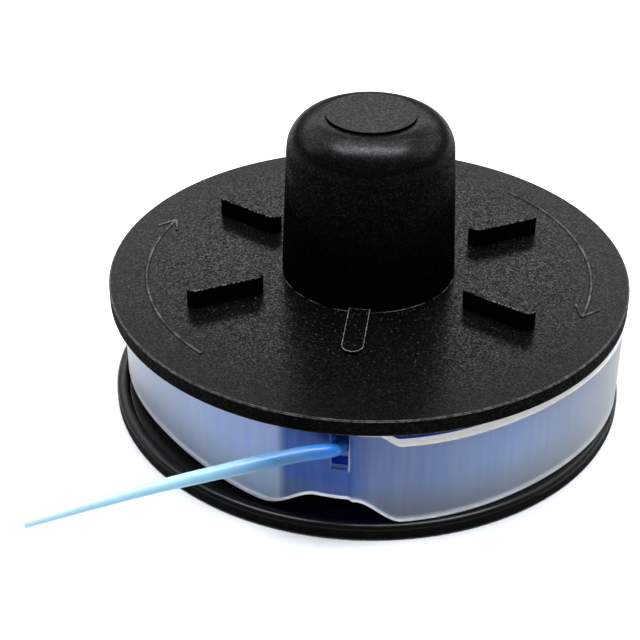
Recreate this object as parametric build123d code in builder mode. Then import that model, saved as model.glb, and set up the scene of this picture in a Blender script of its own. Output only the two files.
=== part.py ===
"""Trimmer line spool: a moulded spool with its bump knob, the wound line, its keeper band and the free end.

The spool stands on its lower flange, with the knob up.  The origin is the centre of the lower flange's
underside, +Z runs up the spool's axis, and the line leaves the band at the front, on the -Y side.
"""
import os
from math import cos, pi, radians, sin, tan

from build123d import *

os.makedirs("parts", exist_ok=True)

# Flanges and drum
upper_flange_radius = 31.1
upper_flange_thickness = 2.0
upper_rim_bevel = 0.12
lower_flange_radius = 31.2
lower_flange_thickness = 1.1
lower_rim_height = 1.9
lower_rim_width = 1.6
lower_rim_round = 0.72
lower_edge_bevel = 0.15
winding_space = 13.0
drum_radius = 15.0
drum_wall = 1.8

# Bump knob
knob_base_radius = 10.4
knob_top_radius = 9.55
knob_height = 19.95
knob_shoulder = 4.2
knob_wall = 2.2
knob_roof = 2.6
knob_disc_radius = 5.25
knob_disc_height = 0.3

# Lugs on the upper flange, and the dogs inside the drum that the drive turns
lug_inner_radius = 13.6
lug_outer_radius = 22.9
lug_width = 2.0
lug_height = 2.4
lug_edge_round = 0.2
lug_angle = 30.0
dog_length = 4.2
dog_width = 2.4
dog_height = 3.0
hub_step = 0.8

# Shallow rib from the knob's foot, over the line's exit
rib_end_radius = 19.1
rib_width = 2.45
rib_height = 0.45

# Line and winding
line_diameter = 1.6
turns_per_layer = 7
levels_per_turn = 4
turn_ridge = 0.5
winding_gap = 0.05
winding_slack = 0.75
winding_slump = 3.0
line_under_flange = 0.7
lead_out = 6.0

# Keeper band: a soft ring, pressed oval along one diagonal and a little square by the winding
band_radius = 29.8
band_wall = 1.2
band_shift = 0.3
band_oval = 0.85
band_oval_axis = -45.0
band_square = 0.7
band_gap = 0.1
band_right_drop = 1.4
band_drop_start = 4.1
band_drop_end = 6.6
arch_left_foot = -8.3
arch_left_top = -2.6
arch_right_top = 1.8
arch_right_foot = 6.9
arch_rise = 2.75
notch_width = 2.0
notch_depth = 5.0
web_thinning = 0.35
web_left = 6.9
outline_points = 32

# Free line end: rises out of the notch, bends beside the band and runs out, a little curved from the reel;
# each point is its X, its Y and how far it lies below the cut end
free_line_route = [
    (0.1, -28.65, 1.2),
    (0.1, -31.1, 0.4),
    (-3.2, -32.2, 0.2),
    (-9.0, -35.2, 0.1),
    (-19.3, -40.75, 0.0),
    (-28.98, -46.98, 0.0),
]
bend_share = 0.45

# Levels up the axis
lower_top = lower_flange_thickness
lower_rim_inner = lower_flange_radius - lower_rim_width
upper_under = lower_top + winding_space
upper_top = upper_under + upper_flange_thickness
knob_top = upper_top + knob_height
hub_radius = drum_radius - drum_wall
hub_end = upper_under - dog_height
well_radius = knob_top_radius - knob_wall
well_roof = knob_top - knob_roof
line_height = upper_under - line_under_flange - line_diameter / 2
band_foot = lower_rim_height + band_gap
band_head = upper_under - band_gap
band_reach = band_radius + band_shift + band_oval + band_square
line_points = [Vector(x, y, line_height - drop) for x, y, drop in free_line_route]
line_runs = [end - start for start, end in zip(line_points, line_points[1:])]


# The spool is one hollow moulding: drum, two flanges and the knob, open from below
with BuildPart() as spool:
    with BuildSketch(Plane.XZ) as section:
        with BuildLine():
            Polyline(
                (hub_radius, 0),
                (lower_flange_radius, 0),
                (lower_flange_radius, lower_rim_height),
                (lower_rim_inner, lower_rim_height),
                (lower_rim_inner, lower_top),
                (drum_radius, lower_top),
                (drum_radius, upper_under),
                (upper_flange_radius, upper_under),
                (upper_flange_radius, upper_top),
                (knob_base_radius, upper_top),
                (knob_top_radius, knob_top),
                (knob_disc_radius, knob_top),
                (knob_disc_radius, knob_top + knob_disc_height),
                (0, knob_top + knob_disc_height),
                (0, well_roof),
                (well_radius, well_roof),
                (well_radius, upper_under),
                (hub_radius - hub_step, upper_under),
                (hub_radius - hub_step, hub_end),
                (hub_radius, hub_end),
                close=True,
            )
        make_face()
        rounded_corners = {
            (knob_top_radius, knob_top): knob_shoulder,
            (well_radius, well_roof): knob_shoulder - knob_wall,
            (lower_flange_radius, lower_rim_height): lower_rim_round,
            (lower_rim_inner, lower_rim_height): lower_rim_round,
        }
        bevelled_corners = {
            (lower_flange_radius, 0): lower_edge_bevel,
            (upper_flange_radius, upper_top): upper_rim_bevel,
            (upper_flange_radius, upper_under): upper_rim_bevel,
        }
        for corner, radius in rounded_corners.items():
            fillet(section.vertices().sort_by_distance(corner)[0], radius)
        for corner, length in bevelled_corners.items():
            chamfer(section.vertices().sort_by_distance(corner)[0], length)
    revolve(axis=Axis.Z)

    # Four radial lugs with round ends, in two pairs either side of the X axis
    with BuildSketch(Plane.XY.offset(upper_top)):
        for first_angle in (lug_angle, -lug_angle):
            with PolarLocations((lug_inner_radius + lug_outer_radius) / 2, 2, first_angle):
                SlotOverall(lug_outer_radius - lug_inner_radius, lug_width)
    extrude(amount=lug_height)
    lug_top = upper_top + lug_height
    fillet(spool.edges().filter_by_position(Axis.Z, lug_top, lug_top), lug_edge_round)

    # The rib's inner end runs into the knob's wall
    rib_foot = knob_base_radius - rib_width / 4
    rib_tip = rib_end_radius - rib_width / 2
    with BuildSketch(Plane.XY.offset(upper_top)):
        with Locations((0, -(rib_foot + rib_tip) / 2)):
            SlotCenterToCenter(rib_tip - rib_foot, rib_width, rotation=90)
    extrude(amount=rib_height)

    # Four dogs hang from the web, at the end of the hub socket, and run into the drum's wall
    with BuildSketch(Plane.XY.offset(upper_under)):
        for first_angle in (lug_angle, -lug_angle):
            with PolarLocations(hub_radius + (drum_wall - dog_length) / 2, 2, first_angle):
                Rectangle(dog_length, dog_width)
    extrude(amount=-dog_height)
spool.part.label = "spool"
export_step(spool.part, "parts/spool.step")


def ring_outline(radius):
    """Plan of the pressed ring at a mean radius, as points round the spool's axis."""
    outline = []
    for step in range(outline_points):
        angle = radians(360 * step / outline_points)
        reach = radius + band_shift * cos(angle) + band_square * cos(4 * angle)
        reach += band_oval * cos(2 * (angle - radians(band_oval_axis)))
        outline.append((reach * cos(angle), reach * sin(angle)))
    return outline


# The winding springs out against the band, with a ridge for each turn of its outer layer;
# its lowest turns have slumped inwards
with BuildPart() as winding:
    turn_pitch = (winding_space - 2 * winding_gap) / turns_per_layer
    winding_radius = band_radius - band_wall - winding_slack
    for level in range(levels_per_turn * turns_per_layer + 1):
        turns_up = level / levels_per_turn
        slumped = winding_slump * (1 - turns_up / turns_per_layer) ** 3
        below_crest = turn_ridge * (1 - abs(sin(pi * turns_up)))
        with BuildSketch(Plane.XY.offset(lower_top + winding_gap + turns_up * turn_pitch)):
            with BuildLine():
                Spline(*ring_outline(winding_radius - slumped - below_crest), periodic=True)
            make_face()
    loft(ruled=True)

    # The last turn leads out into the notch
    with BuildSketch(Plane(line_points[0], z_dir=line_runs[0])):
        Circle(line_diameter / 2)
    extrude(amount=-lead_out)
    with BuildSketch(Plane.XY):
        Circle(drum_radius + winding_gap)
    extrude(amount=upper_top, mode=Mode.SUBTRACT)
winding.part.label = "line_winding"
export_step(winding.part, "parts/line_winding.step")


# The keeper band is a thin ring, lower on its right side, arched and notched at the front for the line
with BuildPart() as band:
    with BuildSketch(Plane.XY.offset(band_foot)):
        with BuildLine():
            Spline(*ring_outline(band_radius), periodic=True)
        make_face()
        with BuildLine():
            Spline(*ring_outline(band_radius - band_wall), periodic=True)
        make_face(mode=Mode.SUBTRACT)
    extrude(amount=band_head - band_foot)
    right_head = band_head - band_right_drop
    with BuildSketch(Plane.XZ):
        with BuildLine():
            Spline((band_drop_start, band_head), (band_drop_end, right_head), tangents=((1, 0), (1, 0)))
            Polyline(
                (band_drop_end, right_head),
                (band_reach, right_head),
                (band_reach, upper_top),
                (band_drop_start, upper_top),
                (band_drop_start, band_head),
            )
        make_face()
    extrude(amount=band_reach, both=True, mode=Mode.SUBTRACT)

    # Arch under the notch, with easy curves at its feet
    arch_top = band_foot + arch_rise
    with BuildSketch(Plane.XZ):
        with BuildLine():
            Spline((arch_left_foot, band_foot), (arch_left_top, arch_top), tangents=((1, 0), (1, 0)))
            Line((arch_left_top, arch_top), (arch_right_top, arch_top))
            Spline((arch_right_top, arch_top), (arch_right_foot, band_foot), tangents=((1, 0), (1, 0)))
            Polyline(
                (arch_right_foot, band_foot),
                (arch_right_foot, 0),
                (arch_left_foot, 0),
                (arch_left_foot, band_foot),
            )
        make_face()
    extrude(amount=band_reach, mode=Mode.SUBTRACT)

    # Notch open at the top edge
    with BuildSketch(Plane.XZ):
        with Locations((0, upper_top)):
            Rectangle(notch_width, 2 * (upper_top - band_head + notch_depth))
    extrude(amount=band_reach, mode=Mode.SUBTRACT)

    # The wall is thinner from the arch's left foot to the notch's right side
    with BuildSketch(Plane.XY):
        Circle(band_reach)
        with BuildLine():
            Spline(*ring_outline(band_radius - web_thinning), periodic=True)
        make_face(mode=Mode.SUBTRACT)
        with Locations(((notch_width / 2 - web_left) / 2, -band_radius)):
            Rectangle(notch_width / 2 + web_left, band_radius, mode=Mode.INTERSECT)
    extrude(amount=upper_top, mode=Mode.SUBTRACT)
band.part.label = "keeper_band"
export_step(band.part, "parts/keeper_band.step")


# The free line end starts on the winding's lead-out, inside the notch
bend_radii = []
for before, after in zip(line_runs, line_runs[1:]):
    half_turn = radians(before.get_angle(after) / 2)
    bend_radii.append(bend_share * min(before.length, after.length) / tan(half_turn))
with BuildPart() as free_line:
    with BuildLine() as route:
        FilletPolyline(*line_points, radius=bend_radii)
    with BuildSketch(Plane(line_points[0], z_dir=line_runs[0])) as line_section:
        Circle(line_diameter / 2)
    sweep(path=route.wires()[0])
free_line.part.label = "free_line"
export_step(free_line.part, "parts/free_line.step")

print("free line bend radii", [round(radius, 2) for radius in bend_radii])
print("free line length", round(route.wires()[0].length, 2))
print("tube volume", round(free_line.part.volume, 3))
print("section times length", round(line_section.sketch.area * route.wires()[0].length, 3))
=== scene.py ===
"""Trimmer line spool: the looks of its black moulding, wound line, keeper band and free line end."""
from math import cos, radians, sin

import bmesh
import bpy
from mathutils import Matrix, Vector


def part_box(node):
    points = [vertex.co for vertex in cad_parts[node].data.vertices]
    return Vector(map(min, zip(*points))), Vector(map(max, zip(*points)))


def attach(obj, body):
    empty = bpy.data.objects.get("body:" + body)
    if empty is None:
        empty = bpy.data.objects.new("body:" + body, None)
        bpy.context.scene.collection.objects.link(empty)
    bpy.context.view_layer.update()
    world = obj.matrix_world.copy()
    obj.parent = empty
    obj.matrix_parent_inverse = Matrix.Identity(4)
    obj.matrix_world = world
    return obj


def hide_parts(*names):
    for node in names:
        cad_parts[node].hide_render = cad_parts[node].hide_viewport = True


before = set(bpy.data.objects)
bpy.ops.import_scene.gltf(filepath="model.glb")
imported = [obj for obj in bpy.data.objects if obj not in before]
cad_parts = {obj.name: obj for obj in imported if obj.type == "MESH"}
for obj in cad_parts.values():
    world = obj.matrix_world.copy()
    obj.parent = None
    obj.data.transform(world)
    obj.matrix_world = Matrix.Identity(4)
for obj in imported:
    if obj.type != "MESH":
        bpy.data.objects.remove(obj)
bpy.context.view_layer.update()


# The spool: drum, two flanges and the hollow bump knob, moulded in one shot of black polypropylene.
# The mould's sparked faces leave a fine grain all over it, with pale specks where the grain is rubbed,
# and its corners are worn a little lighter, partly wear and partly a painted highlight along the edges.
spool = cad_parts["spool"]
flange_top = 0.0161
rim_zone_radius = 0.0305
lower_flange_reach = 0.003
knob_foot_radius = 0.0104
lug_zone_rise = 0.001
seam_width = 0.0001
corner_round = 0.0002
corner_start = 0.0001
corner_full = 0.0003
thick_dust_radius = 0.016
thin_dust_radius = 0.027
smooth_rim_start = 0.021
smooth_rim_end = 0.03
arrow_zone_radius = 0.0235
arrow_crest_start = 0.00005
arrow_crest_full = 0.00015
deep_black = (0.0005, 0.0005, 0.0004, 1.0)
soft_black = (0.0012, 0.0012, 0.001, 1.0)
rubbed_black = (0.003, 0.003, 0.0028, 1.0)
dust_grey = (0.028, 0.028, 0.027, 1.0)
seam_grey = (0.08, 0.08, 0.078, 1.0)
# Arrow crests: partly rubbing, partly a painted glint along the raised lines
crest_grey = (0.06, 0.06, 0.058, 1.0)
# Worn corners and lug edges: partly wear, partly a painted highlight along the edges
worn_and_highlit_grey = (0.26, 0.26, 0.255, 1.0)


def place(tree, kind, inputs=None, **settings):
    """Add a node; inputs are values or sockets to link, by name or by number."""
    added = tree.nodes.new(kind)
    for setting, value in settings.items():
        setattr(added, setting, value)
    for key, value in (inputs or {}).items():
        if isinstance(value, bpy.types.NodeSocket):
            tree.links.new(value, added.inputs[key])
        else:
            added.inputs[key].default_value = value
    return added


def object_spot(tree):
    """The place on the object, in metres."""
    return place(tree, "ShaderNodeTexCoord").outputs["Object"]


def split_up(tree, vector):
    """A vector's X, Y and Z."""
    return place(tree, "ShaderNodeSeparateXYZ", {"Vector": vector}).outputs


def facing_upwards(tree):
    """How far the surface faces up, from -1 to 1."""
    return split_up(tree, place(tree, "ShaderNodeNewGeometry").outputs["Normal"])["Z"]


def distance_from(tree, spot, centre=(0.0, 0.0, 0.0)):
    """How far a spot lies from a centre."""
    return place(tree, "ShaderNodeVectorMath", {0: spot, 1: centre}, operation="DISTANCE").outputs["Value"]


def scaled(tree, vector, scale):
    """A vector made longer, so that a pattern gets finer."""
    inputs = {0: vector, "Scale": scale}
    return place(tree, "ShaderNodeVectorMath", inputs, operation="SCALE").outputs["Vector"]


def noise(tree, spot, scale, detail):
    """A cloudy value about 0.5."""
    inputs = {"Vector": spot, "Scale": scale, "Detail": detail}
    return place(tree, "ShaderNodeTexNoise", inputs).outputs["Fac"]


def spread(tree, value, low, high, to_low=0.0, to_high=1.0):
    """Carry a value from one range to another, held at its ends."""
    inputs = {"Value": value, "From Min": low, "From Max": high, "To Min": to_low, "To Max": to_high}
    return place(tree, "ShaderNodeMapRange", inputs).outputs["Result"]


def blend_colours(tree, share, first, second):
    """Mix two colours by a share that changes over the surface."""
    mixed = place(tree, "ShaderNodeMix", {0: share, 6: first, 7: second}, data_type="RGBA")
    return mixed.outputs[2]


def combine(tree, operation, first, second):
    """One sum, comparison or the like of two values."""
    return place(tree, "ShaderNodeMath", {0: first, 1: second}, operation=operation).outputs[0]


def product(tree, first, *others):
    """Several values or masks multiplied together."""
    for other in others:
        first = combine(tree, "MULTIPLY", first, other)
    return first


def gap_between(tree, first, second):
    """How far apart two values are."""
    gap = combine(tree, "SUBTRACT", first, second)
    return place(tree, "ShaderNodeMath", {0: gap}, operation="ABSOLUTE").outputs[0]


def raised(tree, height, strength, distance):
    """The normal of a surface that a fine pattern raises."""
    inputs = {"Strength": strength, "Distance": distance, "Height": height}
    return place(tree, "ShaderNodeBump", inputs).outputs["Normal"]


def new_finish(name, **constants):
    """A material with one Principled shader, whose constants are set on its own sockets."""
    finish = bpy.data.materials.new(name)
    finish.use_nodes = True
    finish.node_tree.nodes.clear()
    shader = place(finish.node_tree, "ShaderNodeBsdfPrincipled")
    for socket, value in constants.items():
        shader.inputs[socket.replace("_", " ")].default_value = value
    place(finish.node_tree, "ShaderNodeOutputMaterial", {"Surface": shader.outputs["BSDF"]})
    return finish, finish.node_tree, shader


def feed(tree, shader, **sockets):
    """Link what changes over the surface to the shader's sockets."""
    for socket, value in sockets.items():
        tree.links.new(value, shader.inputs[socket.replace("_", " ")])


def new_effect(name, takes, gives):
    """A node group with float inputs and float outputs."""
    effect = bpy.data.node_groups.new(name, "ShaderNodeTree")
    for socket in takes:
        effect.interface.new_socket(socket, in_out="INPUT", socket_type="NodeSocketFloat")
    for socket in gives:
        effect.interface.new_socket(socket, in_out="OUTPUT", socket_type="NodeSocketFloat")
    return effect, place(effect, "NodeGroupInput").outputs, place(effect, "NodeGroupOutput").inputs


def use_effect(tree, effect, **values):
    """Place an effect in a material with its own values."""
    placed = place(tree, "ShaderNodeGroup", node_tree=effect)
    for socket, value in values.items():
        placed.inputs[socket.replace("_", " ")].default_value = value
    return placed.outputs


# Sparked grain: a fine bumpy height, a shine of its own for each grain, and slow patches
grain, grain_in, grain_out = new_effect(
    "sparked_grain", ["Grains Per Metre"], ["Height", "Specks", "Patches"]
)
grain_spot = scaled(grain, object_spot(grain), grain_in["Grains Per Metre"])
fine = place(
    grain, "ShaderNodeTexNoise", {"Vector": grain_spot, "Scale": 1.0, "Detail": 4.0, "Roughness": 0.7}
)
specks = place(grain, "ShaderNodeTexVoronoi", {"Vector": grain_spot, "Scale": 1.0})
speck_shine = place(grain, "ShaderNodeSeparateColor", {"Color": specks.outputs["Color"]})
patches = noise(grain, grain_spot, 0.03, 4.0)
grain.links.new(fine.outputs["Fac"], grain_out["Height"])
grain.links.new(speck_shine.outputs["Red"], grain_out["Specks"])
grain.links.new(spread(grain, patches, 0.3, 0.7), grain_out["Patches"])

# Worn and highlit corners: where the rounded normal leaves the true one, broken up by the wear; it marks
# both wear and a painted edge highlight
corner_wear_and_light, corner_wear_and_light_in, corner_wear_and_light_out = new_effect("corners_worn_and_highlit", ["Reach"], ["Wear"])
rounded_normal = place(corner_wear_and_light, "ShaderNodeBevel", {"Radius": corner_wear_and_light_in["Reach"]}, samples=6)
true_normal = place(corner_wear_and_light, "ShaderNodeNewGeometry")
agree = place(
    corner_wear_and_light,
    "ShaderNodeVectorMath",
    {0: rounded_normal.outputs["Normal"], 1: true_normal.outputs["Normal"]},
    operation="DOT_PRODUCT",
)
wear_and_highlight = product(
    corner_wear_and_light,
    spread(corner_wear_and_light, agree.outputs["Value"], 0.99, 0.85),
    spread(corner_wear_and_light, noise(corner_wear_and_light, object_spot(corner_wear_and_light), 2200.0, 3.0), 0.38, 0.62, 0.25, 1.0),
)
corner_wear_and_light.links.new(wear_and_highlight, corner_wear_and_light_out["Wear"])


def moulding_colour(tree, grain_seen, spot, height, from_axis, facing_up):
    """Black, with rubbed specks, dust, a pale seam round the knob's foot, paler arrow crests and worn
    corners, the last two partly a painted highlight.
    """
    each_speck = grain_seen["Specks"]
    colour = blend_colours(tree, grain_seen["Patches"], deep_black, soft_black)
    colour = blend_colours(tree, spread(tree, each_speck, 0.8, 1.0), colour, rubbed_black)
    on_knob = combine(tree, "LESS_THAN", from_axis, knob_foot_radius)
    dust = product(
        tree,
        spread(tree, each_speck, 0.97, 1.0),
        spread(tree, from_axis, thick_dust_radius, thin_dust_radius, 1.0, 0.2),
        spread(tree, facing_up, 0.3, 0.8),
        spread(tree, on_knob, 0.0, 1.0, 1.0, 0.25),
    )
    colour = blend_colours(tree, dust, colour, dust_grey)
    breaks = noise(tree, spot, 700.0, 4.0)
    off_flange = gap_between(tree, height, flange_top)
    off_knob_foot = gap_between(tree, from_axis, knob_foot_radius)
    seam = product(
        tree,
        spread(tree, off_knob_foot, seam_width / 2, seam_width, 1.0, 0.0),
        spread(tree, off_flange, seam_width / 2, seam_width, 1.0, 0.0),
        spread(tree, breaks, 0.42, 0.62),
    )
    colour = blend_colours(tree, seam, colour, seam_grey)
    # The arrows' crests go paler: partly rubbing, partly a painted glint along the raised lines
    arrow_crest = product(
        tree,
        combine(tree, "GREATER_THAN", from_axis, arrow_zone_radius),
        spread(tree, height, flange_top + arrow_crest_start, flange_top + arrow_crest_full),
        spread(tree, breaks, 0.4, 0.6, 0.15, 1.0),
    )
    colour = blend_colours(tree, arrow_crest, colour, crest_grey)
    past_knob = combine(tree, "GREATER_THAN", from_axis, knob_foot_radius)
    on_corner = combine(
        tree,
        "MAXIMUM",
        spread(tree, off_flange, corner_start, corner_full),
        combine(tree, "GREATER_THAN", from_axis, rim_zone_radius),
    )
    # Worn corners and lug edges go pale grey: partly wear, partly a painted highlight along the edges
    worn_and_highlit = product(tree, use_effect(tree, corner_wear_and_light, Reach=corner_round)["Wear"], on_corner, past_knob)
    lug_edge = product(
        tree,
        past_knob,
        combine(tree, "GREATER_THAN", height, flange_top + lug_zone_rise),
        spread(tree, facing_up, 0.1, 0.4),
        spread(tree, facing_up, 0.85, 0.98, 1.0, 0.0),
        spread(tree, each_speck, 0.6, 1.0, 0.0, 0.5),
    )
    return blend_colours(tree, combine(tree, "MAXIMUM", worn_and_highlit, lug_edge), colour, worn_and_highlit_grey)


def moulding_shine(tree, grain_seen, height, from_axis, facing_up):
    """Each grain's own shine, evener on knob, rim and lower flange, and dull on the upright walls."""
    each_speck = grain_seen["Specks"]
    grain_shine = product(
        tree,
        spread(tree, grain_seen["Height"], 0.35, 0.65, 0.5, 1.0),
        spread(tree, product(tree, each_speck, each_speck), 0.0, 1.0, 0.12, 1.0),
    )
    on_knob = combine(tree, "LESS_THAN", from_axis, knob_foot_radius)
    on_lower_flange = combine(tree, "LESS_THAN", height, lower_flange_reach)
    towards_rim = spread(tree, from_axis, smooth_rim_start, smooth_rim_end, 0.0, 0.6)
    smoother = combine(tree, "MAXIMUM", product(tree, on_knob, 0.55), on_lower_flange)
    smoother = combine(tree, "MAXIMUM", smoother, towards_rim)
    even_shine = product(tree, smoother, spread(tree, on_lower_flange, 0.0, 1.0, 0.31, 0.62))
    grain_shine = product(tree, grain_shine, combine(tree, "SUBTRACT", 1.0, smoother))
    wall_share = spread(tree, each_speck, 0.7, 1.0, 0.12, 0.3)
    not_on_walls = spread(tree, facing_up, 0.1, 0.6, wall_share, 1.0)
    return product(tree, combine(tree, "ADD", even_shine, grain_shine), not_on_walls)


def black_moulding():
    """Black polypropylene with a glossy skin that the grain breaks up."""
    finish, tree, shader = new_finish(
        "black_moulding", Specular_IOR_Level=0.0, Coat_IOR=1.42, Coat_Roughness=0.29
    )
    grain_seen = use_effect(tree, grain, Grains_Per_Metre=6500.0)
    spot = object_spot(tree)
    height = split_up(tree, spot)["Z"]
    flat_spot = place(tree, "ShaderNodeVectorMath", {0: spot, 1: (1.0, 1.0, 0.0)}, operation="MULTIPLY")
    from_axis = distance_from(tree, flat_spot.outputs["Vector"])
    facing_up = facing_upwards(tree)
    feed(
        tree,
        shader,
        Base_Color=moulding_colour(tree, grain_seen, spot, height, from_axis, facing_up),
        Roughness=spread(tree, grain_seen["Height"], 0.3, 0.7, 0.45, 0.3),
        Coat_Weight=moulding_shine(tree, grain_seen, height, from_axis, facing_up),
        Normal=raised(tree, grain_seen["Height"], 0.5, 0.00006),
    )
    return finish


moulding = black_moulding()
spool.material_slots[0].material = moulding


# The winding arrows: two raised lines on the upper flange, which show the way that the line is wound on.
# They are cut into the mould and come out with the spool, in the same black plastic.
arrow_radius = 0.0266
arrow_tails = [radians(232.0), radians(52.0)]
arrow_sweep = radians(70.0)
arrow_steps = 28
arrow_line_width = 0.0005
arrow_rise = 0.00016
barb_length = 0.0026
barb_spread = radians(32.0)


def add_raised_line(curve, points):
    """One straight-sided run of the raised line, half sunk in the flange."""
    line = curve.splines.new("POLY")
    line.points.add(len(points) - 1)
    for spot, (x, y) in zip(line.points, points):
        spot.co = (x, y, flange_top + arrow_rise - arrow_line_width / 2, 1.0)


arrow_curve = bpy.data.curves.new("winding_arrows", "CURVE")
arrow_curve.dimensions = "3D"
for tail in arrow_tails:
    angles = [tail - arrow_sweep * step / arrow_steps for step in range(arrow_steps + 1)]
    shaft = [(arrow_radius * cos(angle), arrow_radius * sin(angle)) for angle in angles]
    add_raised_line(arrow_curve, shaft)
    tip_x, tip_y = shaft[-1]
    backwards = angles[-1] + radians(90.0)
    for barb_angle in (backwards - barb_spread, backwards + barb_spread):
        barb_end = (tip_x + barb_length * cos(barb_angle), tip_y + barb_length * sin(barb_angle))
        add_raised_line(arrow_curve, [(tip_x, tip_y), barb_end])
arrow_curve.bevel_depth = arrow_line_width / 2
arrow_curve.bevel_resolution = 3
arrow_curve.use_fill_caps = True
arrow_curve.materials.append(moulding)
arrows = bpy.data.objects.new("winding_arrows", arrow_curve)
bpy.context.scene.collection.objects.link(arrows)
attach(arrows, "root")


# The wound line: nylon monofilament, laid turn beside turn on the drum under tension.
# Each turn takes a slightly different blue, and the smooth nylon shines along its crests.
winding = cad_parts["line_winding"]
winding_low, winding_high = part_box("line_winding")
turns_per_layer = 7
turn_streaks = (120.0, 120.0, 2600.0)
deep_nylon = (0.011, 0.07, 0.45, 1.0)
bright_nylon = (0.025, 0.15, 0.74, 1.0)


def wound_nylon():
    """Deep blue nylon, shaded turn by turn, with fine streaks along the line."""
    finish, tree, shader = new_finish("wound_nylon", IOR=1.53, Coat_Roughness=0.12)
    spot = object_spot(tree)
    turn_pitch = (winding_high.z - winding_low.z) / turns_per_layer
    above_foot = combine(tree, "SUBTRACT", split_up(tree, spot)["Z"], winding_low.z)
    turn = combine(tree, "DIVIDE", above_foot, turn_pitch)
    turn_number = place(tree, "ShaderNodeMath", {0: turn}, operation="FLOOR").outputs[0]
    turn_shade = place(tree, "ShaderNodeTexWhiteNoise", {"W": turn_number}, noise_dimensions="1D")
    along = place(tree, "ShaderNodeMapping", {"Vector": spot, "Scale": turn_streaks})
    streaks = noise(tree, along.outputs["Vector"], 1.0, 4.0)
    shade = combine(
        tree, "ADD", product(tree, turn_shade.outputs["Value"], 0.5), product(tree, streaks, 0.5)
    )
    feed(
        tree,
        shader,
        Base_Color=blend_colours(tree, shade, deep_nylon, bright_nylon),
        Roughness=spread(tree, streaks, 0.3, 0.7, 0.22, 0.4),
        Coat_Weight=spread(tree, streaks, 0.3, 0.7, 0.2, 0.4),
        Normal=raised(tree, streaks, 0.2, 0.00006),
    )
    return finish


winding.material_slots[0].material = wound_nylon()


# The keeper band: a ring of milky natural polyethylene, moulded thin enough to let the blue line show,
# with rounded lips, a thinner web beside its notch, and an arch under it.
# It snaps round the winding between the flanges and holds it until the spool goes into its head.
band_low, band_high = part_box("keeper_band")
band_foot = band_low.z
band_head = band_high.z
band_radius = 0.0298
band_wall = 0.0012
band_shift = 0.0003
band_oval = 0.00085
band_oval_axis = radians(-45.0)
band_square = 0.0007
band_right_drop = 0.0014
band_drop_start = 0.0041
band_drop_end = 0.0066
arch_left_foot = -0.0083
arch_left_top = -0.0026
arch_right_top = 0.0018
arch_right_foot = 0.0069
arch_rise = 0.00275
notch_half_width = 0.001
notch_depth = 0.005
web_thinning = 0.00035
web_left = -0.0069
web_run_in = 0.0025
web_step = 0.0005
lip_round = 0.0002
lip_height = 0.0005
lip_steps = 3
lip_crease = radians(50.0)
notch_rim = 0.0001
front_start = -110.0
front_end = -74.0
front_step = 0.2
back_step = 2.0


def eased(value, start, end):
    """An S-shaped rise from 0 to 1."""
    share = min(max((value - start) / (end - start), 0.0), 1.0)
    return share * share * (3.0 - 2.0 * share)


def band_section(angle):
    """The band's cross-section at an angle round the axis, from its outer foot round to its outer wall."""
    reach = band_radius + band_shift * cos(angle) + band_square * cos(4.0 * angle)
    reach += band_oval * cos(2.0 * (angle - band_oval_axis))
    side = reach * cos(angle)
    foot = band_foot
    head = band_head - band_right_drop * eased(side, band_drop_start, band_drop_end)
    outer = reach
    if sin(angle) < 0.0:
        foot += arch_rise * eased(side, arch_left_foot, arch_left_top)
        foot -= arch_rise * eased(side, arch_right_top, arch_right_foot)
        if abs(side) < notch_half_width:
            head = band_head - notch_depth
        thinned = eased(side, web_left - web_run_in, web_left)
        thinned *= 1.0 - eased(side, notch_half_width, notch_half_width + web_step)
        outer -= web_thinning * thinned
    inner = reach - band_wall
    corners = [
        (outer - lip_round, foot + lip_round, 0.0),
        (inner + lip_round, foot + lip_round, -90.0),
        (inner + lip_round, head - lip_round, -180.0),
        (outer - lip_round, head - lip_round, -270.0),
    ]
    section = []
    for centre_reach, centre_height, first in corners:
        for step in range(lip_steps + 1):
            turn = radians(first - 90.0 * step / lip_steps)
            from_axis = centre_reach + lip_round * cos(turn)
            height = centre_height + lip_round * sin(turn)
            section.append((from_axis, height))
    section.append((outer, min(band_head - notch_depth - notch_rim, head - lip_round) - lip_round))
    section.append((outer, foot + lip_height))
    return [(from_axis * cos(angle), from_axis * sin(angle), height) for from_axis, height in section]


front_steps = round((front_end - front_start) / front_step)
back_steps = round((360.0 - front_end + front_start) / back_step)
band_angles = [front_start + front_step * step for step in range(front_steps + 1)]
band_angles += [front_end + back_step * step for step in range(1, back_steps)]
band_shape = bmesh.new()
band_rings = []
for angle in band_angles:
    band_rings.append([band_shape.verts.new(point) for point in band_section(radians(angle))])
inner_wall = 2 * (lip_steps + 1) - 1
upper_wall = 4 * (lip_steps + 1) - 1
lower_wall = upper_wall + 1
for ring, next_ring in zip(band_rings, band_rings[1:] + band_rings[:1]):
    in_front = ring[0].co.y < 0.0
    at_pale_side = in_front and abs(ring[0].co.x - notch_half_width) < notch_rim
    over_notch_foot = in_front and abs(ring[0].co.x) < notch_half_width
    for number in range(len(ring)):
        following = (number + 1) % len(ring)
        corners = (ring[number], ring[following], next_ring[following], next_ring[number])
        face = band_shape.faces.new(corners)
        face.smooth = True
        in_wall = number in (inner_wall, lower_wall) or (number == upper_wall and not at_pale_side)
        in_wall = in_wall or (over_notch_foot and upper_wall - lip_steps <= number < upper_wall)
        face.material_index = 0 if in_wall else 1
bmesh.ops.recalc_face_normals(band_shape, faces=band_shape.faces)
band_mesh = bpy.data.meshes.new("keeper_band_ring")
band_shape.to_mesh(band_mesh)
band_shape.free()
band_mesh.set_sharp_from_angle(angle=lip_crease)
band = bpy.data.objects.new("keeper_band_ring", band_mesh)
bpy.context.scene.collection.objects.link(band)

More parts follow.
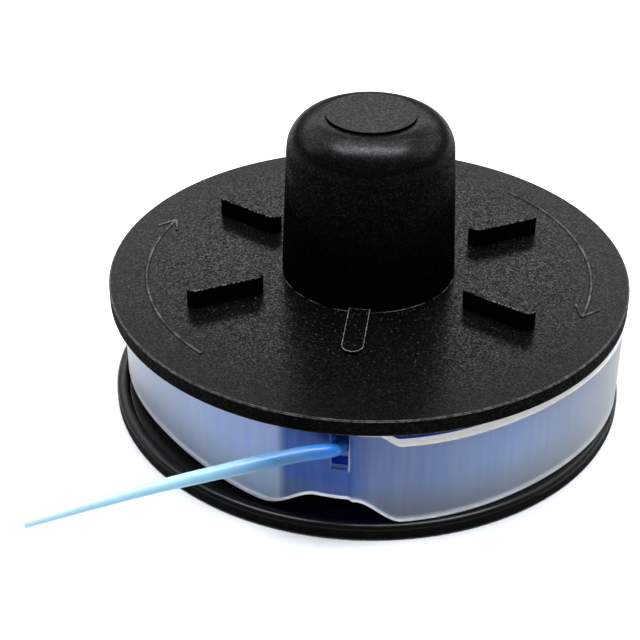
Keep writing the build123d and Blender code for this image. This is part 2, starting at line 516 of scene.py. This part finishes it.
# Moulding flow: fine upright streaks and slow clouds in the milky plastic
flow, flow_in, flow_out = new_effect("moulding_flow", ["Streaks Per Metre"], ["Streaks", "Clouds"])
flow_spot = object_spot(flow)
upright = place(flow, "ShaderNodeMapping", {"Vector": flow_spot, "Scale": (1.0, 1.0, 0.06)})
upright = scaled(flow, upright.outputs["Vector"], flow_in["Streaks Per Metre"])
flow.links.new(spread(flow, noise(flow, upright, 1.0, 3.0), 0.3, 0.7), flow_out["Streaks"])
flow.links.new(spread(flow, noise(flow, flow_spot, 140.0, 3.0), 0.3, 0.7), flow_out["Clouds"])

# Where the band's tones change, several of them painted light and shade: past the notch, low down, towards
# its sides and round the notch
notch_fade_end = arch_right_top + 0.0018
low_down_end = band_foot + 0.45 * (band_head - band_foot)
side_start = 0.6 * band_radius
left_side_tone = -0.01
right_side_tone = 0.01
notch_lip_start = notch_half_width + 0.0003
notch_lip_end = notch_half_width + 0.0006
notch_lip_foot = band_head - notch_depth - 0.0006


def wall_colour(tree, cloudy, parts):
    """Bluest in the thin web; a painted shade of darker blue across the front, a painted grey shade low
    down, and a painted sheen towards the sides, lighter on the left.
    """
    in_front = spread(tree, parts["Y"], 0.0, -band_radius / 2)
    behind = spread(tree, parts["Y"], 0.0, band_radius / 2)
    from_left = product(tree, in_front, spread(tree, parts["X"], web_left, web_left + 2 * web_step))
    # A painted shade of darker blue across the front, from the web to past the arch's right foot
    front_shade = product(tree, from_left, spread(tree, parts["X"], arch_right_foot, band_radius, 1.0, 0.0))
    in_web = product(tree, from_left, spread(tree, parts["X"], notch_half_width, notch_fade_end, 1.0, 0.0))
    to_side = spread(tree, gap_between(tree, parts["X"], 0.0), side_start, band_radius)
    # Greyer low down: a painted shade low on the band
    low_down = product(
        tree,
        spread(tree, parts["Z"], band_foot, low_down_end, 1.0, 0.0),
        spread(tree, from_left, 0.0, 1.0, 0.25, 0.85),
    )
    colour = blend_colours(tree, cloudy, (0.45, 0.64, 0.97, 1.0), (0.65, 0.77, 0.97, 1.0))
    # Towards the sides a painted sheen, lighter on the left than on the right
    right_share = spread(tree, parts["X"], left_side_tone, right_side_tone)
    side_sheen_tone = blend_colours(tree, right_share, (0.6, 0.61, 0.66, 1.0), (0.34, 0.35, 0.37, 1.0))
    colour = blend_colours(tree, to_side, colour, side_sheen_tone)
    back_blue = blend_colours(tree, cloudy, (0.15, 0.26, 0.58, 1.0), (0.42, 0.52, 0.76, 1.0))
    colour = blend_colours(tree, behind, colour, back_blue)
    front_shade_blue = blend_colours(tree, cloudy, (0.17, 0.28, 0.57, 1.0), (0.36, 0.46, 0.68, 1.0))
    colour = blend_colours(tree, front_shade, colour, front_shade_blue)
    web_blue = blend_colours(tree, cloudy, (0.004, 0.075, 0.44, 1.0), (0.03, 0.2, 0.66, 1.0))
    colour = blend_colours(tree, in_web, colour, web_blue)
    low_shade_grey = blend_colours(tree, front_shade, (0.5, 0.52, 0.56, 1.0), (0.2, 0.21, 0.23, 1.0))
    return blend_colours(tree, low_down, colour, low_shade_grey)


def milky_wall():
    """Frosted see-through wall, cloudy from the mould's flow, with a painted highlight along its edges."""
    finish, tree, shader = new_finish("milky_wall", IOR=1.32, Transmission_Weight=0.7)
    flow_seen = use_effect(tree, flow, Streaks_Per_Metre=1300.0)
    frost = use_effect(tree, grain, Grains_Per_Metre=3600.0)["Height"]
    # A painted highlight along the band's edges
    painted_edge_highlight = product(tree, use_effect(tree, corner_wear_and_light, Reach=0.00025)["Wear"], 0.5)
    cloudy = combine(
        tree, "ADD", product(tree, flow_seen["Streaks"], 0.6), product(tree, flow_seen["Clouds"], 0.4)
    )
    colour = wall_colour(tree, cloudy, split_up(tree, object_spot(tree)))
    feed(
        tree,
        shader,
        Base_Color=blend_colours(tree, painted_edge_highlight, colour, (0.8, 0.83, 0.88, 1.0)),
        Roughness=combine(
            tree, "ADD", spread(tree, cloudy, 0.0, 1.0, 0.28, 0.4), product(tree, frost, 0.08)
        ),
        Normal=raised(tree, frost, 0.15, 0.00005),
    )
    return finish


def milky_lip():
    """The thick rounded lips, almost white from a painted glow that stands for light running inside the
    wall, with a painted shade round the notch.
    """
    finish, tree, shader = new_finish(
        "milky_lip", IOR=1.42, Transmission_Weight=0.1, Emission_Strength=0.5
    )
    flow_seen = use_effect(tree, flow, Streaks_Per_Metre=700.0)
    parts = split_up(tree, object_spot(tree))
    at_notch = product(
        tree,
        spread(tree, gap_between(tree, parts["X"], 0.0), notch_lip_start, notch_lip_end, 1.0, 0.0),
        combine(tree, "LESS_THAN", parts["Y"], 0.0),
        combine(tree, "GREATER_THAN", parts["Z"], notch_lip_foot),
    )
    colour = blend_colours(tree, flow_seen["Streaks"], (0.34, 0.36, 0.39, 1.0), (0.6, 0.61, 0.63, 1.0))
    # Round the notch the lips go darker and bluer: a painted shade in the recess
    colour = blend_colours(tree, at_notch, colour, (0.2, 0.25, 0.36, 1.0))
    # The emission is a painted glow: dim low down, brighter higher up, brightest on upward faces and dark
    # round the notch
    up_the_band = spread(tree, parts["Z"], band_foot, band_head)
    painted_glow = blend_colours(tree, up_the_band, (0.12, 0.125, 0.135, 1.0), (0.6, 0.6, 0.59, 1.0))
    on_top = spread(tree, facing_upwards(tree), 0.4, 0.9)
    painted_glow = blend_colours(tree, on_top, painted_glow, (0.95, 0.94, 0.9, 1.0))
    painted_glow = blend_colours(tree, at_notch, painted_glow, (0.06, 0.08, 0.13, 1.0))
    feed(
        tree,
        shader,
        Base_Color=colour,
        Emission_Color=painted_glow,
        Roughness=spread(tree, flow_seen["Clouds"], 0.0, 1.0, 0.25, 0.4),
    )
    return finish


band_mesh.materials.append(milky_wall())
band_mesh.materials.append(milky_lip())
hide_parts("keeper_band")
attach(band, "root")


# The free line end: the last stretch of the nylon line, led out through the band's notch and cut straight.
# It keeps a slight curve from the reel and thins where it was drawn, and by itself it looks pale blue.
line_diameter = 0.0016
line_route = [
    (0.0001, -0.02865, 0.0114),
    (0.0001, -0.0311, 0.0122),
    (-0.0032, -0.0322, 0.0124),
    (-0.009, -0.0352, 0.0125),
    (-0.0193, -0.04075, 0.0126),
    (-0.02898, -0.04698, 0.0126),
]
line_thickness = [1.0, 1.0, 1.0, 1.0, 0.78, 0.6]
line_curve = bpy.data.curves.new("free_line_end", "CURVE")
line_curve.dimensions = "3D"
line_spline = line_curve.splines.new("NURBS")
line_spline.points.add(len(line_route) - 1)
for point, place_on_route, share in zip(line_spline.points, line_route, line_thickness):
    point.co = (*place_on_route, 1.0)
    point.radius = share
line_spline.order_u = 3
line_spline.use_endpoint_u = True
line_spline.resolution_u = 16
line_curve.bevel_depth = line_diameter / 2
line_curve.bevel_resolution = 8
line_curve.use_fill_caps = True
line_end = bpy.data.objects.new("free_line_end", line_curve)
bpy.context.scene.collection.objects.link(line_end)

# Its blues, darker near the notch as a painted shade: the deep one at the notch, then each paler one with
# the distances where it starts and is full
notch_shade_blue = (0.01, 0.12, 0.4, 1.0)
paler_blues = [
    (0.003, 0.007, (0.04, 0.125, 0.27, 1.0)),
    (0.008, 0.019, (0.24, 0.43, 0.55, 1.0)),
    (0.019, 0.034, (0.34, 0.52, 0.62, 1.0)),
]
drawn_heading = (0.0, 0.0, radians(-31.0))
drawn_streaks = (70.0, 900.0, 900.0)
blue_wander = 0.0008


def bare_nylon():
    """Pale nylon, with a painted shade of deeper blue where it comes out of the notch, and drawn streaks
    along it.
    """
    finish, tree, shader = new_finish(
        "bare_nylon",
        Specular_IOR_Level=0.2,
        Coat_Roughness=0.3,
        Subsurface_Weight=0.3,
        Subsurface_Scale=0.0006,
    )
    spot = object_spot(tree)
    along = place(
        tree, "ShaderNodeMapping", {"Vector": spot, "Rotation": drawn_heading, "Scale": drawn_streaks}
    )
    streaks = noise(tree, along.outputs["Vector"], 1.0, 3.0)
    wander = spread(tree, streaks, 0.3, 0.7, -blue_wander, blue_wander)
    away = combine(tree, "ADD", distance_from(tree, spot, line_route[0]), wander)
    # Deeper blue near the notch is a painted shade, fading out along the line
    colour = notch_shade_blue
    for start, full, paler_blue in paler_blues:
        colour = blend_colours(tree, spread(tree, away, start, full), colour, paler_blue)
    feed(
        tree,
        shader,
        Base_Color=colour,
        Roughness=spread(tree, streaks, 0.3, 0.7, 0.25, 0.4),
        Coat_Weight=spread(tree, streaks, 0.3, 0.7, 0.1, 0.25),
    )
    return finish


line_curve.materials.append(bare_nylon())
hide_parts("free_line")
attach(line_end, "root")


# The table: a large, plain studio surface in pale matt paint, which the spool stands on.
# Beyond the reach of the soft boxes it glows a little, so that it stays pale from every side.
table_size = 6.0
table_drop = 0.00005
far_glow_start = 0.25
far_glow_full = 0.8


def pale_table():
    """Off-white paint with a very slight unevenness."""
    finish, tree, shader = new_finish(
        "pale_table", Roughness=0.7, Specular_IOR_Level=0.2, Emission_Strength=1.0
    )
    spot = object_spot(tree)
    uneven = noise(tree, spot, 30.0, 2.0)
    far_off = spread(tree, distance_from(tree, spot), far_glow_start, far_glow_full)
    feed(
        tree,
        shader,
        Base_Color=blend_colours(tree, uneven, (0.66, 0.66, 0.66, 1.0), (0.7, 0.7, 0.7, 1.0)),
        Emission_Color=blend_colours(tree, far_off, (0.0, 0.0, 0.0, 1.0), (0.95, 0.95, 0.95, 1.0)),
    )
    return finish


table_mesh = bpy.data.meshes.new("table")
table_shape = bmesh.new()
bmesh.ops.create_grid(table_shape, x_segments=1, y_segments=1, size=table_size / 2)
table_shape.to_mesh(table_mesh)
table_shape.free()
table = bpy.data.objects.new("table", table_mesh)
table.location = (0.0, 0.0, -table_drop)
table_mesh.materials.append(pale_table())
bpy.context.scene.collection.objects.link(table)


# Studio light: a soft box overhead that shines on the knob's shoulder, a slanting one behind it for the
# knob's rounded top, one at each side for the shoulder's flanks, a long low one at the back that the
# flat black tops mirror, and a weak even surround.
spool_middle = Vector((0.0, 0.0, 0.016))
white_light = (1.0, 1.0, 1.0)
cool_light = (0.9, 0.95, 1.0)
surround_strength = 0.15


def soft_box(name, place_at, width, height, watts, colour):
    """An area light aimed at the spool's middle."""
    lamp = bpy.data.lights.new(name, "AREA")
    lamp.color = colour
    lamp.shape = "RECTANGLE"
    lamp.size = width
    lamp.size_y = height
    lamp.energy = watts
    box = bpy.data.objects.new(name, lamp)
    box.location = place_at
    box.rotation_euler = (spool_middle - Vector(place_at)).to_track_quat("-Z", "Y").to_euler()
    bpy.context.scene.collection.objects.link(box)


soft_box("overhead_box", (0.0, -0.01, 0.55), 0.6, 0.2, 7.8, cool_light)
soft_box("slanting_box", (0.0, 0.2, 0.52), 0.4, 0.24, 1.4, white_light)
soft_box("left_box", (-0.47, 0.22, 0.4), 0.6, 0.35, 1.5, white_light)
soft_box("right_box", (0.47, 0.22, 0.4), 0.6, 0.35, 1.5, white_light)
soft_box("low_box", (-0.04, 0.6, 0.36), 0.8, 0.14, 1.6, white_light)
surround = bpy.data.worlds.new("surround")
surround.use_nodes = True
surround_shader = surround.node_tree.nodes["Background"]
surround_shader.inputs["Color"].default_value = (*white_light, 1.0)
surround_shader.inputs["Strength"].default_value = surround_strength
bpy.context.scene.world = surround


# The camera stands in front of the spool and above it, a little to the right, at the photograph's angle.
# It has a long lens on a full frame, and the colours come out plain.
camera_place = Vector((0.013196, -0.150831, 0.106926))
camera_aim = Vector((-0.005778, -0.00073, 0.00832))
camera_data = bpy.data.cameras.new("camera")
camera_data.sensor_width = 36.0
camera_data.lens = 82.2
camera_data.clip_start = 0.01
camera = bpy.data.objects.new("camera", camera_data)
camera.location = camera_place
camera.rotation_euler = (camera_aim - camera_place).to_track_quat("-Z", "Y").to_euler()
bpy.context.scene.collection.objects.link(camera)
bpy.context.scene.camera = camera
bpy.context.scene.view_settings.view_transform = "Standard"
